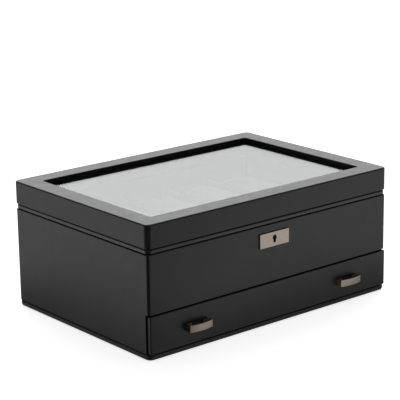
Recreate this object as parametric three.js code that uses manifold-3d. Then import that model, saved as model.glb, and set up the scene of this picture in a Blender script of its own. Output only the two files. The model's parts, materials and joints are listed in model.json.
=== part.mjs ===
// Watch box: leather-covered case with a glazed lid, a lock, ten watch cushions and a drawer.
// Millimetres, +Z up. Origin: centre of the underside. The front faces -Y, +X runs along it.

import * as THREE from 'three';
import { mergeVertices } from 'three/addons/utils/BufferGeometryUtils.js';
import Module from 'manifold-3d';

const wasm = await Module();
wasm.setup();

// ---- Driving dimensions -------------------------------------------------------------------

const WIDTH = 330;
const DEPTH = 229;
const HEIGHT = 140;
const GAP = 0.25;          // clearance where one piece sits in another's pocket

const HALF_W = WIDTH / 2;
const HALF_D = DEPTH / 2;

const WALL = 10.5;         // from the outline to the inside of the body's walls
const BODY_INSET = 0.75;   // the lid and the base overhang the body by this much
const BODY_X = HALF_W - BODY_INSET;
const BODY_Y = HALF_D - BODY_INSET;
const IN_X = HALF_W - WALL;
const IN_Y = HALF_D - WALL;

// Levels, from the table up
const FELT_TOP = 0.75;
const BASE_TOP = 6.5;
const TRAY_BOTTOM = 47.75; // ceiling of the drawer bay, and lower edge of the front panel
const TRAY_TOP = 51.75;
const DIVIDER_TOP = 96;
const BODY_TOP = 109.5;
const LINING_TOP = 113.25; // the linings stand up into the lid as a lip
const RIM_BOTTOM = 110.25;
const LID_BOTTOM = 115;
const GLASS_BOTTOM = 132.5;
const GLASS_TOP = 135.5;
const RETAINER_BOTTOM = 128.5;

// Base
const BASE_CORNER = 7;
const FELT_INSET = 5;

// Tray
const LINING = 2;
const DIVIDER = 2.5;
const COLUMNS = 5;
const ROWS = 2;
const TRAY_X = IN_X - LINING;
const TRAY_Y = IN_Y - LINING;
const CELL_X = (2 * TRAY_X - (COLUMNS - 1) * DIVIDER) / COLUMNS;
const CELL_Y = (2 * TRAY_Y - (ROWS - 1) * DIVIDER) / ROWS;
const CUSHION = { x: 54, y: 90, z: 44, corner: 9, rise: 0.5 };

// Lid
const FRAME = 22;            // width of the lid's top frame
const LID_WALL = 10;
const LID_CORNER = 5.5;
const WINDOW_CORNER = 4;
const RIM_INSET = 1;
const RIM_CORNER = 5;
const GLASS_LAP = 3.5;
const RETAINER_LAP = 1.5;
const MITRE_GAP = 0.3;

// Hinges
const HINGE = { x: 105, length: 38, leaf: 1, knuckle: 2.25, pin: 1, bore: 1.3, count: 5 };
const HINGE_Y = HALF_D + HINGE.knuckle + GAP;
const HINGE_Z = (BODY_TOP + RIM_BOTTOM) / 2;
const KNUCKLE_GAP = 0.3;

// Lock: the plate, its keyhole, and the works in the front panel behind it
const PLATE = { width: 40, bottom: 85.5, top: 101, thick: 1.5 };
const KEY_Z = 94.75;
const KEYHOLE = { radius: 2.7, slot: 3.2, drop: 5.2 };
const CASE = { half: 17, bottom: 75.25, wall: 1, web: 2, back: 1 };
const PLUG = { boss: 6.3, disc: 7.5, back: 5, pin: 0.9, throwRadius: 2.83 };
const BOLT = { half: 3.5, yoke: 6.5, thick: 2, top: 109, shoulder: 99.25, bottom: 87.75 };
const STRIKE = { half: 12, thick: 0.75, pocket: 3.5 };

// Drawer
const OVERLAY = { thick: 4.5, proud: 0.4, inset: 1.75, bottom: 7.25, top: 46.5, corner: 1.5 };
const OVERLAY_FRONT = -HALF_D - OVERLAY.proud;
const OVERLAY_BACK = OVERLAY_FRONT + OVERLAY.thick;
const SIDE_SETBACK = 6;    // the side panels stop this far behind the front face, below the tray
const BOX = { side: 6, play: 1, bottom: 9, top: 40, back: 98, backTop: 45 };
const BOX_X = IN_X - BOX.play;
const BOX_IN_X = BOX_X - BOX.side;
const BOX_BACK_IN = BOX.back - BOX.side;
const BOX_FRONT_IN = OVERLAY_BACK + BOX.side;
const DRAWER_TRAVEL = 150;
const FLOOR = { bottom: 10.5, top: 13.5, padTop: 16.5 };
const RUNNER = { width: 7, top: 8.75 };
const STOP = { width: 5, bottom: 41 };

// Pulls
const PULL = { x: 104.5, z: 25.5, length: 29, height: 7.5, strip: 1.5, end: 7, bow: 9.25, foot: 6.75 };
const SCREW = { inset: 4.5, shank: 1.5, head: 3, headThick: 2, hole: 1.8 };

// ---- Materials ------------------------------------------------------------------------------

const finish = (color, roughness, metalness) =>
  new THREE.MeshStandardMaterial({ color, roughness, metalness });

const leather = finish(0x1d1d1f, 0.5, 0);
const innerLeather = finish(0x17171a, 0.6, 0);
const suede = finish(0x3a393b, 0.95, 0);
const felt = finish(0x141414, 1, 0);
const board = finish(0x33302c, 0.8, 0);
const bronze = finish(0x8b8178, 0.35, 1);
const steel = finish(0x9a9a9c, 0.3, 1);
const glass = new THREE.MeshStandardMaterial({
  color: 0xdfe5e8, roughness: 0.03, metalness: 0, transparent: true, opacity: 0.35,
});

// ---- Solids ---------------------------------------------------------------------------------

const toSolid = (geometry) => {
  const bare = geometry.clone();
  bare.deleteAttribute('normal');
  bare.deleteAttribute('uv');
  const merged = mergeVertices(bare);
  const mesh = new wasm.Mesh({
    numProp: 3,
    vertProperties: new Float32Array(merged.attributes.position.array),
    triVerts: new Uint32Array(merged.index.array),
  });
  return new wasm.Manifold(mesh);
};

const toGeometry = (solid) => {
  const mesh = solid.getMesh();
  const geometry = new THREE.BufferGeometry();
  geometry.setAttribute('position', new THREE.BufferAttribute(mesh.vertProperties, 3));
  geometry.setIndex(new THREE.BufferAttribute(mesh.triVerts, 1));
  geometry.computeVertexNormals();
  return geometry;
};

const cut = (geometry, ...tools) =>
  toGeometry(tools.reduce((solid, tool) => solid.subtract(toSolid(tool)), toSolid(geometry)));

const join = (geometry, ...others) =>
  toGeometry(others.reduce((solid, other) => solid.add(toSolid(other)), toSolid(geometry)));

const common = (geometry, other) => toGeometry(toSolid(geometry).intersect(toSolid(other)));

const block = ([x0, x1], [y0, y1], [z0, z1]) =>
  new THREE.BoxGeometry(x1 - x0, y1 - y0, z1 - z0)
    .translate((x0 + x1) / 2, (y0 + y1) / 2, (z0 + z1) / 2);

const roundedRect = (halfX, halfY, radius) => {
  const shape = new THREE.Shape();
  shape.moveTo(halfX, radius - halfY);
  shape.absarc(halfX - radius, halfY - radius, radius, 0, Math.PI / 2);
  shape.absarc(radius - halfX, halfY - radius, radius, Math.PI / 2, Math.PI);
  shape.absarc(radius - halfX, radius - halfY, radius, Math.PI, 1.5 * Math.PI);
  shape.absarc(halfX - radius, radius - halfY, radius, 1.5 * Math.PI, 2 * Math.PI);
  return shape;
};

const extrude = (shape, depth, segments = 4) =>
  new THREE.ExtrudeGeometry(shape, { depth, bevelEnabled: false, curveSegments: segments });

// A plan outline raised from z0 to z1
const slab = (shape, [z0, z1], segments) => extrude(shape, z1 - z0, segments).translate(0, 0, z0);

// A profile drawn in Y and Z, run along X
const alongX = (shape, [x0, x1], segments) => {
  const turn = new THREE.Matrix4().makeBasis(
    new THREE.Vector3(0, 1, 0), new THREE.Vector3(0, 0, 1), new THREE.Vector3(1, 0, 0));
  return extrude(shape, x1 - x0, segments).applyMatrix4(turn).translate(x0, 0, 0);
};

// A profile drawn in X and Z, run along Y
const alongY = (shape, [y0, y1], segments) => {
  const turn = new THREE.Matrix4().makeBasis(
    new THREE.Vector3(1, 0, 0), new THREE.Vector3(0, 0, 1), new THREE.Vector3(0, -1, 0));
  return extrude(shape, y1 - y0, segments).applyMatrix4(turn).translate(0, y1, 0);
};

const rodX = (radius, [x0, x1], y, z, sides = 16) =>
  new THREE.CylinderGeometry(radius, radius, x1 - x0, sides)
    .rotateZ(Math.PI / 2).translate((x0 + x1) / 2, y, z);

const rodY = (radius, [y0, y1], x, z, sides = 16) =>
  new THREE.CylinderGeometry(radius, radius, y1 - y0, sides).translate(x, (y0 + y1) / 2, z);

const polygon = (points) => new THREE.Shape(points.map(([x, y]) => new THREE.Vector2(x, y)));

const ring = (outer, inner) => {
  outer.holes.push(inner);
  return outer;
};

const part = (body, name, geometry, material) => {
  const mesh = new THREE.Mesh(geometry, material);
  mesh.name = name;
  body.add(mesh);
};

const SIDES = [['left', -1], ['right', 1]];
const span = (a, b) => [Math.min(a, b), Math.max(a, b)];

// ---- Case -----------------------------------------------------------------------------------

const addBase = (body) => {
  const feltX = HALF_W - FELT_INSET;
  const feltY = HALF_D - FELT_INSET;
  part(body, 'base_felt', slab(roundedRect(feltX, feltY, BASE_CORNER), [0, FELT_TOP]), felt);
  const outline = roundedRect(HALF_W, HALF_D, BASE_CORNER);
  part(body, 'base_board', slab(outline, [FELT_TOP, BASE_TOP], 6), leather);
};

const keyhole = (margin) => {
  const { radius, slot, drop } = KEYHOLE;
  const half = slot / 2 + margin;
  const round = radius + margin;
  const meet = Math.acos(half / round);
  const shape = new THREE.Shape();
  shape.moveTo(half, KEY_Z - drop - margin);
  shape.absarc(0, KEY_Z, round, -meet, Math.PI + meet);
  shape.lineTo(-half, KEY_Z - drop - margin);
  return shape;
};

const CASE_Y = [-HALF_D + CASE.web, -IN_Y - CASE.back];

const addFrontPanel = (body) => {
  const panel = block([-BODY_X, BODY_X], [-BODY_Y, -IN_Y], [TRAY_BOTTOM, BODY_TOP]);
  const pocketX = CASE.half + GAP;
  const pocket = block([-pocketX, pocketX], CASE_Y, [CASE.bottom, BODY_TOP + 1]);
  const hole = alongY(keyhole(GAP), [-HALF_D - 1, CASE_Y[0] + 1], 10);
  part(body, 'front_panel', cut(panel, pocket, hole), leather);
};

const addBackPanel = (body) => {
  const panel = block([-BODY_X, BODY_X], [IN_Y, BODY_Y], [BASE_TOP, BODY_TOP]);
  const mortises = SIDES.map(([, sign]) => hingeMortise(sign, BODY_TOP - HINGE.leaf, BODY_TOP + 1));
  part(body, 'back_panel', cut(panel, ...mortises), leather);
};

const addSidePanels = (body) => {
  const lowFront = -HALF_D + SIDE_SETBACK;
  const profile = polygon([
    [lowFront, BASE_TOP], [IN_Y, BASE_TOP], [IN_Y, BODY_TOP], [-IN_Y, BODY_TOP],
    [-IN_Y, TRAY_BOTTOM], [lowFront, TRAY_BOTTOM],
  ]);
  for (const [side, sign] of SIDES) {
    const panel = alongX(profile, span(sign * IN_X, sign * BODY_X));
    part(body, `side_panel_${side}`, panel, leather);
  }
};

const addTray = (body) => {
  const floor = block([-IN_X, IN_X], [-IN_Y, IN_Y], [TRAY_BOTTOM, TRAY_TOP]);
  part(body, 'tray_floor', floor, suede);
  const height = [TRAY_TOP, LINING_TOP];
  for (const [side, sign] of SIDES) {
    const lining = block(span(sign * TRAY_X, sign * IN_X), [-TRAY_Y, TRAY_Y], height);
    part(body, `lining_${side}`, lining, suede);
  }
  for (const [side, sign] of [['front', -1], ['back', 1]]) {
    const lining = block([-IN_X, IN_X], span(sign * TRAY_Y, sign * IN_Y), height);
    part(body, `lining_${side}`, lining, suede);
  }
};

const cellX = (column) => -TRAY_X + CELL_X / 2 + column * (CELL_X + DIVIDER);
const cellY = (row) => -TRAY_Y + CELL_Y / 2 + row * (CELL_Y + DIVIDER);

// The long divider is slotted from below and the cross dividers from above, half way each
const addDividers = (body) => {
  const half = DIVIDER / 2;
  const slot = half + GAP;
  const middle = (TRAY_TOP + DIVIDER_TOP) / 2;
  const height = [TRAY_TOP, DIVIDER_TOP];
  const places = [];
  for (let column = 1; column < COLUMNS; column += 1) {
    places.push((cellX(column - 1) + cellX(column)) / 2);
  }
  const long = block([-TRAY_X, TRAY_X], [-half, half], height);
  const slots = places.map((x) =>
    block([x - slot, x + slot], [-DIVIDER, DIVIDER], [TRAY_TOP - 1, middle + GAP]));
  part(body, 'long_divider', cut(long, ...slots), suede);
  places.forEach((x, index) => {
    const cross = block([x - half, x + half], [-TRAY_Y, TRAY_Y], height);
    const notch = block([x - DIVIDER, x + DIVIDER], [-slot, slot], [middle, DIVIDER_TOP + 1]);
    part(body, `cross_divider_${index + 1}`, cut(cross, notch), suede);
  });
};

// A block with rounded plan corners and a crowned top edge, made as three stacked layers
const cushion = () => {
  const { x, y, z, corner, rise } = CUSHION;
  const layer = (inset, low, high) =>
    slab(roundedRect(x / 2 - inset, y / 2 - inset, corner), [TRAY_TOP + low, TRAY_TOP + high]);
  return join(
    layer(3, rise, rise + 4),
    layer(0, rise + 4, z - 6),
    layer(4, z - 6, z));
};

const addCushions = (body) => {
  const shape = cushion();
  for (let row = 0; row < ROWS; row += 1) {
    for (let column = 0; column < COLUMNS; column += 1) {
      const mesh = new THREE.Mesh(shape, suede);
      mesh.name = `watch_cushion_${row * COLUMNS + column + 1}`;
      mesh.position.set(cellX(column), cellY(row), 0);
      body.add(mesh);
    }
  }
};

const addDrawerBay = (body) => {
  for (const [side, sign] of SIDES) {
    const runner = block(span(sign * (IN_X - GAP), sign * (IN_X - GAP - RUNNER.width)),
      [-IN_Y, IN_Y - 4], [BASE_TOP, RUNNER.top]);
    part(body, `drawer_runner_${side}`, runner, board);
  }
  const stopFace = BOX_BACK_IN - DRAWER_TRAVEL - 1;
  const strip = block([-IN_X, IN_X], [stopFace - STOP.width, stopFace], [STOP.bottom, TRAY_BOTTOM]);
  part(body, 'drawer_stop', strip, board);
};

// ---- Hinges ---------------------------------------------------------------------------------

const hingeX = (sign) => [sign * HINGE.x - HINGE.length / 2, sign * HINGE.x + HINGE.length / 2];
const LEAF_Y = [HALF_D - 7, HALF_D - GAP];

const hingeMortise = (sign, low, high) => {
  const [x0, x1] = hingeX(sign);
  return block([x0 - GAP, x1 + GAP], [LEAF_Y[0] - GAP, HALF_D + 1], [low, high]);
};

// One leaf with its knuckles, which are every second one of the barrel's count
const hingeLeaf = (sign, [low, high], first) => {
  const [x0, x1] = hingeX(sign);
  const pitch = (x1 - x0) / HINGE.count;
  const pieces = [];
  for (let index = first; index < HINGE.count; index += 2) {
    const along = [x0 + index * pitch + KNUCKLE_GAP / 2, x0 + (index + 1) * pitch - KNUCKLE_GAP / 2];
    pieces.push(rodX(HINGE.knuckle, along, HINGE_Y, HINGE_Z));
    pieces.push(block(along, [LEAF_Y[1] - 1, HINGE_Y - 1], [low, high]));
  }
  const leaf = join(block([x0, x1], LEAF_Y, [low, high]), ...pieces);
  return cut(leaf, rodX(HINGE.bore, [x0 - 1, x1 + 1], HINGE_Y, HINGE_Z));
};

const hingePin = (sign) => {
  const end = HINGE.length / 2 + 0.5;
  const head = HINGE.knuckle - 0.25;
  const tip = end + 0.8;
  const profile = [
    [0, -tip], [head, -tip], [head, -end], [HINGE.pin, -end],
    [HINGE.pin, end], [head, end], [head, tip], [0, tip],
  ].map(([radius, along]) => new THREE.Vector2(radius, along));
  return new THREE.LatheGeometry(profile, 16)
    .rotateZ(Math.PI / 2).translate(sign * HINGE.x, HINGE_Y, HINGE_Z);
};

const addHinges = (caseBody, lidBody) => {
  for (const [side, sign] of SIDES) {
    const lower = hingeLeaf(sign, [BODY_TOP - HINGE.leaf, BODY_TOP], 0);
    part(caseBody, `hinge_leaf_body_${side}`, lower, steel);
    part(caseBody, `hinge_pin_${side}`, hingePin(sign), steel);
    const upper = hingeLeaf(sign, [RIM_BOTTOM, RIM_BOTTOM + HINGE.leaf], 1);
    part(lidBody, `hinge_leaf_lid_${side}`, upper, steel);
  }
};

// ---- Lock -----------------------------------------------------------------------------------

const BOLT_BACK = CASE_Y[1] - CASE.wall - 1.1;
const BOLT_Y = [BOLT_BACK - BOLT.thick, BOLT_BACK];

const addLockPlate = (body) => {
  const half = PLATE.width / 2;
  const y = [-BODY_Y - PLATE.thick, -BODY_Y];
  const plate = block([-half, half], y, [PLATE.bottom, PLATE.top]);
  const hole = alongY(keyhole(0), [y[0] - 1, y[1] + 1], 10);
  part(body, 'lock_plate', cut(plate, hole), bronze);
};

const addLockCase = (body) => {
  const { half, bottom, wall } = CASE;
  const [front, back] = CASE_Y;
  const shell = block([-half, half], CASE_Y, [bottom, BODY_TOP]);
  const inside = block([wall - half, half - wall], [front + wall, back - wall],
    [bottom + wall, BODY_TOP - wall]);
  const bearing = rodY(PLUG.boss + 0.3, [front - 1, front + wall + 1], 0, KEY_Z, 24);
  const slotX = BOLT.half + 0.3;
  const slot = block([-slotX, slotX], [BOLT_Y[0] - 0.3, BOLT_Y[1] + 0.3],
    [BODY_TOP - wall - 1, BODY_TOP + 1]);
  part(body, 'lock_case', cut(shell, inside, bearing, slot), steel);
};

// The plug turns with the key; its eccentric pin lifts the bolt
const addLockPlug = (body) => {
  const front = CASE_Y[0] + GAP;
  const discFront = CASE_Y[0] + CASE.wall + GAP;
  const discBack = BOLT_Y[0] - 0.4;
  const reach = PLUG.throwRadius * Math.SQRT1_2;
  const turned = join(
    rodY(PLUG.boss, [front, discFront + 1], 0, KEY_Z, 24),
    rodY(PLUG.disc, [discFront, discBack], 0, KEY_Z, 24),
    rodY(PLUG.pin, [discBack - 0.5, BOLT_Y[1] + 0.5], reach, KEY_Z - reach, 12));
  const socket = alongY(keyhole(0), [front - 1, discBack - 0.75], 10);
  part(body, 'lock_plug', cut(turned, socket), steel);
};

const addLockBolt = (body) => {
  const { half, yoke, top, shoulder, bottom } = BOLT;
  const outline = polygon([
    [-yoke, bottom], [yoke, bottom], [yoke, shoulder], [half, shoulder],
    [half, top], [-half, top], [-half, shoulder], [-yoke, shoulder],
  ]);
  const room = PLUG.pin + 0.35;
  const reach = PLUG.throwRadius * Math.SQRT1_2;
  const slot = block([reach - room, PLUG.throwRadius + room], [BOLT_Y[0] - 1, BOLT_Y[1] + 1],
    [KEY_Z - reach - room, KEY_Z - reach + room]);
  part(body, 'lock_bolt', cut(alongY(outline, BOLT_Y), slot), steel);
};

// The recess for the strike in the lid's rim, and the deeper pocket that the bolt enters
const STRIKE_Y = [BOLT_Y[0] - 2, BOLT_Y[1] + 1.5];
const strikeSlot = (margin, top) => {
  const x = BOLT.half + 0.5 + margin;
  return block([-x, x], [BOLT_Y[0] - 0.6 - margin, BOLT_Y[1] + 0.6 + margin], [RIM_BOTTOM - 1, top]);
};

const addStrike = (body) => {
  const plate = block([-STRIKE.half, STRIKE.half], STRIKE_Y, [RIM_BOTTOM, RIM_BOTTOM + STRIKE.thick]);
  part(body, 'lock_strike', cut(plate, strikeSlot(0, LID_BOTTOM)), steel);
};

// ---- Lid ------------------------------------------------------------------------------------

const addLidRim = (body) => {
  const outer = roundedRect(HALF_W - RIM_INSET, HALF_D - RIM_INSET, RIM_CORNER);
  const inner = roundedRect(HALF_W - LID_WALL, HALF_D - LID_WALL, 1);
  const rim = slab(ring(outer, inner), [RIM_BOTTOM, LID_BOTTOM]);
  const x = STRIKE.half + GAP;
  const recess = block([-x, x], [STRIKE_Y[0] - GAP, STRIKE_Y[1] + GAP],
    [RIM_BOTTOM - 1, RIM_BOTTOM + STRIKE.thick]);
  const mortises = SIDES.map(([, sign]) =>
    hingeMortise(sign, RIM_BOTTOM - 1, RIM_BOTTOM + HINGE.leaf));
  const pocket = strikeSlot(0.2, RIM_BOTTOM + STRIKE.pocket);
  part(body, 'lid_rim', cut(rim, recess, pocket, ...mortises), leather);
};

// The frame's full ring: window above, glass rabbet under it, then the lid's hollow
const lidFrame = () => {
  const outline = roundedRect(HALF_W, HALF_D, LID_CORNER);
  const window = roundedRect(HALF_W - FRAME, HALF_D - FRAME, WINDOW_CORNER);
  const centred = (inset, z) => {
    const x = HALF_W - inset;
    const y = HALF_D - inset;
    return block([-x, x], [-y, y], z);
  };
  return cut(
    slab(outline, [LID_BOTTOM, HEIGHT], 5),
    slab(window, [GLASS_TOP - 1, HEIGHT + 1]),
    centred(FRAME - GLASS_LAP, [GLASS_BOTTOM - 1, GLASS_TOP]),
    centred(LID_WALL, [LID_BOTTOM - 1, GLASS_BOTTOM]));
};

// The frame is four rails, mitred at the corners
const addLidRails = (body) => {
  const frame = lidFrame();
  const over = 10;
  const reach = 55;
  const gap = MITRE_GAP * Math.SQRT1_2;
  const far = [HALF_W + over, HALF_D + over];
  const near = [far[0] - reach, far[1] - reach];
  for (const [side, sign] of [['front', -1], ['back', 1]]) {
    const wedge = polygon([
      [gap - far[0], sign * far[1]], [far[0] - gap, sign * far[1]],
      [near[0] - gap, sign * near[1]], [gap - near[0], sign * near[1]],
    ]);
    const rail = common(frame, slab(wedge, [LID_BOTTOM - 1, HEIGHT + 1]));
    part(body, `lid_rail_${side}`, rail, leather);
  }
  for (const [side, sign] of SIDES) {
    const wedge = polygon([
      [sign * far[0], gap - far[1]], [sign * far[0], far[1] - gap],
      [sign * near[0], near[1] - gap], [sign * near[0], gap - near[1]],
    ]);
    const rail = common(frame, slab(wedge, [LID_BOTTOM - 1, HEIGHT + 1]));
    part(body, `lid_rail_${side}`, rail, leather);
  }
};

const addGlazing = (body) => {
  const x = HALF_W - FRAME + GLASS_LAP - GAP;
  const y = HALF_D - FRAME + GLASS_LAP - GAP;
  part(body, 'glass_pane', block([-x, x], [-y, y], [GLASS_BOTTOM, GLASS_TOP]), glass);
  const outer = roundedRect(HALF_W - LID_WALL - GAP, HALF_D - LID_WALL - GAP, 1);
  const inner = roundedRect(HALF_W - FRAME + RETAINER_LAP, HALF_D - FRAME + RETAINER_LAP, 1);
  const retainer = slab(ring(outer, inner), [RETAINER_BOTTOM, GLASS_BOTTOM], 2);
  part(body, 'glass_retainer', retainer, innerLeather);
};

// ---- Drawer ---------------------------------------------------------------------------------

const pullScrewX = () => {
  const reach = PULL.length / 2 - SCREW.inset;
  return [-PULL.x - reach, -PULL.x + reach, PULL.x - reach, PULL.x + reach];
};

const screwHoles = (y) => pullScrewX().map((x) => rodY(SCREW.hole, y, x, PULL.z, 12));

const addDrawerBox = (body) => {
  const height = (OVERLAY.top - OVERLAY.bottom) / 2;
  const face = alongY(roundedRect(HALF_W - OVERLAY.inset, height, OVERLAY.corner),
    [OVERLAY_FRONT, OVERLAY_BACK])
    .translate(0, 0, OVERLAY.bottom + height);
  const through = [OVERLAY_FRONT - 1, OVERLAY_BACK + 1];
  part(body, 'drawer_front', cut(face, ...screwHoles(through)), leather);

  const y = [OVERLAY_BACK, BOX_FRONT_IN];
  const inner = block([-BOX_IN_X, BOX_IN_X], y, [BOX.bottom, BOX.top]);
  part(body, 'drawer_box_front', cut(inner, ...screwHoles([y[0] - 1, y[1] + 1])), board);
  for (const [side, sign] of SIDES) {
    const wall = block(span(sign * BOX_IN_X, sign * BOX_X), [OVERLAY_BACK, BOX.back],
      [BOX.bottom, BOX.top]);
    part(body, `drawer_side_${side}`, wall, board);
  }
  const back = block([-BOX_IN_X, BOX_IN_X], [BOX_BACK_IN, BOX.back], [BOX.bottom, BOX.backTop]);
  part(body, 'drawer_back', back, board);
  const floor = block([-BOX_IN_X, BOX_IN_X], [BOX_FRONT_IN, BOX_BACK_IN], [FLOOR.bottom, FLOOR.top]);
  part(body, 'drawer_bottom', floor, board);
  const pad = block([-BOX_IN_X + 0.5, BOX_IN_X - 0.5], [BOX_FRONT_IN + 0.5, BOX_BACK_IN - 0.5],
    [FLOOR.top + GAP, FLOOR.padTop]);
  part(body, 'drawer_pad', pad, suede);
};

// The pull's outline seen from above: a bowed strip on two legs with inward feet.
// Each arc passes through its two ends and its middle.
const bowRadius = (half, sagitta) => (half * half + sagitta * sagitta) / (2 * sagitta);

const pullOutline = () => {
  const { length, strip, end, bow, foot } = PULL;
  const half = length / 2;
  const inHalf = half - strip;
  const rise = bow - end;
  const outer = bowRadius(half, rise);
  const inner = outer - strip;
  const centre = bow - outer;
  const face = (w) => OVERLAY_FRONT - w;
  const arcY = (radius, x) => centre + Math.sqrt(radius * radius - x * x);
  const points = [[-half, 0]];
  const steps = 8;
  for (let step = 0; step <= steps; step += 1) {
    const x = -half + (length * step) / steps;
    points.push([x, arcY(outer, x)]);
  }
  points.push([half, 0], [half - foot, 0], [half - foot, strip], [inHalf, strip]);
  for (let step = steps; step >= 0; step -= 1) {
    const x = -inHalf + (2 * inHalf * step) / steps;
    points.push([x, arcY(inner, x)]);
  }
  points.push([-inHalf, strip], [foot - half, strip], [foot - half, 0]);
  return polygon(points.map(([x, w]) => [x, face(w)]));
};

const addPulls = (body) => {
  const height = [PULL.z - PULL.height / 2, PULL.z + PULL.height / 2];
  const bow = slab(pullOutline(), height);
  const reach = PULL.length / 2 - SCREW.inset;
  const holes = [-reach, reach].map((x) =>
    rodY(SCREW.hole, [OVERLAY_FRONT - PULL.strip - 0.5, OVERLAY_FRONT + 1], x, PULL.z, 12));
  const shape = cut(bow, ...holes);
  for (const [side, sign] of SIDES) {
    part(body, `pull_${side}`, shape.clone().translate(sign * PULL.x, 0, 0), bronze);
  }
};

const addPullScrews = (body) => {
  pullScrewX().forEach((x, index) => {
    const tip = OVERLAY_FRONT - PULL.strip + 0.3;
    const shank = rodY(SCREW.shank, [tip, BOX_FRONT_IN + 0.5], x, PULL.z, 12);
    const head = rodY(SCREW.head, [BOX_FRONT_IN, BOX_FRONT_IN + SCREW.headThick], x, PULL.z, 12);
    part(body, `pull_screw_${index + 1}`, join(shank, head), steel);
  });
};

// ---- Assembly -------------------------------------------------------------------------------

const caseBody = new THREE.Group();
const lidBody = new THREE.Group();
const lockBody = new THREE.Group();
const drawerBody = new THREE.Group();

addBase(caseBody);
addFrontPanel(caseBody);
addBackPanel(caseBody);
addSidePanels(caseBody);
addTray(caseBody);
addDividers(caseBody);
addCushions(caseBody);
addDrawerBay(caseBody);
addLockPlate(caseBody);
addLockCase(caseBody);
addHinges(caseBody, lidBody);

addLidRim(lidBody);
addLidRails(lidBody);
addGlazing(lidBody);
addStrike(lidBody);

addLockPlug(lockBody);
addLockBolt(lockBody);

addDrawerBox(drawerBody);
addPulls(drawerBody);
addPullScrews(drawerBody);

const group = new THREE.Group();
group.add(caseBody, lidBody, lockBody, drawerBody);

export default group;
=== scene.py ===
"""Looks of a leather-covered watch box with a glazed lid, a lock and a drawer.

Lengths are in millimetres until a mesh is made, and the frame's own boxes give the places.
"""

import json
import math

import bmesh
import bpy
from mathutils import Matrix, Vector, noise


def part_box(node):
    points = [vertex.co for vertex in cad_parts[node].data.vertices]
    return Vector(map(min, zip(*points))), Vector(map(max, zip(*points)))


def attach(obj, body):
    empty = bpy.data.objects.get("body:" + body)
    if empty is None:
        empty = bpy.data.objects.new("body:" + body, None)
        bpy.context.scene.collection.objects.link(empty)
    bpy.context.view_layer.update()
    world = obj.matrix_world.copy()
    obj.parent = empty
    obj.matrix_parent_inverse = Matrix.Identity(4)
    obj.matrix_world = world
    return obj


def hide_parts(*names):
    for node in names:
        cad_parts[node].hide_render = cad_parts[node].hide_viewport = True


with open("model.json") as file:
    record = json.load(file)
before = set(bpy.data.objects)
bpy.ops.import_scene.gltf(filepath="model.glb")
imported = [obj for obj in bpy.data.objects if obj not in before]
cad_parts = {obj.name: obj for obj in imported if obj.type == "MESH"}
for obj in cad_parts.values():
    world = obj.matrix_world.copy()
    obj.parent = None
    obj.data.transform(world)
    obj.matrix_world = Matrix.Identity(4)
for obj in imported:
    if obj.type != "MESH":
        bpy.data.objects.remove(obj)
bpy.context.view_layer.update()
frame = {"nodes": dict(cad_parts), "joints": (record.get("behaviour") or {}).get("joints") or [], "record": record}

MM = 0.001
BODIES = frame["record"]["behaviour"]["bodies"]
BODY_OF = {node: body for body, nodes in BODIES.items() for node in nodes}
SIDES = ("left", "right")

ARC_STEPS = 5        # per quarter turn of a plan corner
FILLET_STEPS = 4     # per rounded edge of a profile
LEAST_RADIUS = 0.1   # of a plan corner, so that a ring never has two points in one place
SHARP = math.radians(38)     # a steeper fold than this is shaded as an edge


def node_box(node):
    """A CAD node's lowest and highest corners in millimetres."""
    low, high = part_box(node)
    return low / MM, high / MM


# ---- Driving dimensions, from the frame ------------------------------------------------------

BASE_LOW, BASE_HIGH = node_box("base_board")
HALF_W, HALF_D = BASE_HIGH.x, BASE_HIGH.y
PANEL_LOW, PANEL_HIGH = node_box("front_panel")
BODY_TOP = PANEL_HIGH.z
BODY_X, BODY_Y = PANEL_HIGH.x, -PANEL_LOW.y
WALL = BODY_X - node_box("tray_floor")[1].x
BAY_TOP = node_box("tray_floor")[0].z
LID_LOW, LID_HIGH = node_box("lid_rail_front")
RIM_LOW, RIM_HIGH = node_box("lid_rim")
RETAINER_LOW, RETAINER_HIGH = node_box("glass_retainer")
GLASS_LOW, GLASS_HIGH = node_box("glass_pane")
FRONT_LOW, FRONT_HIGH = node_box("drawer_front")
GAP = 0.25           # clearance where one piece is let into another
PAST = 1             # how far a cutter runs past the face that it cuts through
WELL_PAST = 5        # the same, where there is nothing else near
SEAM_FILL = 0.15     # how far the covers of the body and the rim each stand into their gap

LID_FRAME = 22       # width of the lid's top frame
LID_WALL = 10        # width of the lid's wall under the glass
LID_CORNER = 5.5     # plan radius of each outline's corners
WINDOW_CORNER = 3
BODY_CORNER = 3
BASE_CORNER = 7
RIM_CORNER = 5
CASE_INNER_CORNER = 0.3
LID_INNER_CORNER = 0.5
LOW_FRONT = -HALF_D + 6    # the side panels' front edge, beside the drawer
RABBET = HALF_W - GLASS_HIGH.x - GAP
LEAF = 1             # depth of a hinge leaf's mortise


# ---- Meshes -----------------------------------------------------------------------------------

def mesh_object(name, bm):
    """A new object in the scene from a bmesh in millimetres."""
    bmesh.ops.recalc_face_normals(bm, faces=bm.faces)
    mesh = bpy.data.meshes.new(name)
    bm.to_mesh(mesh)
    bm.free()
    mesh.transform(Matrix.Scale(MM, 4))
    piece = bpy.data.objects.new(name, mesh)
    bpy.context.scene.collection.objects.link(piece)
    return piece


def plan_ring(half_x, half_y, radius, level):
    """A rounded rectangle's points at one level, counter-clockwise."""
    radius = max(radius, LEAST_RADIUS)
    points = []
    for quarter, (side_x, side_y) in enumerate(((1, 1), (-1, 1), (-1, -1), (1, -1))):
        for step in range(ARC_STEPS + 1):
            angle = math.pi / 2 * (quarter + step / ARC_STEPS)
            x = side_x * (half_x - radius) + radius * math.cos(angle)
            y = side_y * (half_y - radius) + radius * math.sin(angle)
            points.append(Vector((x, y, level)))
    return points


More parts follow.
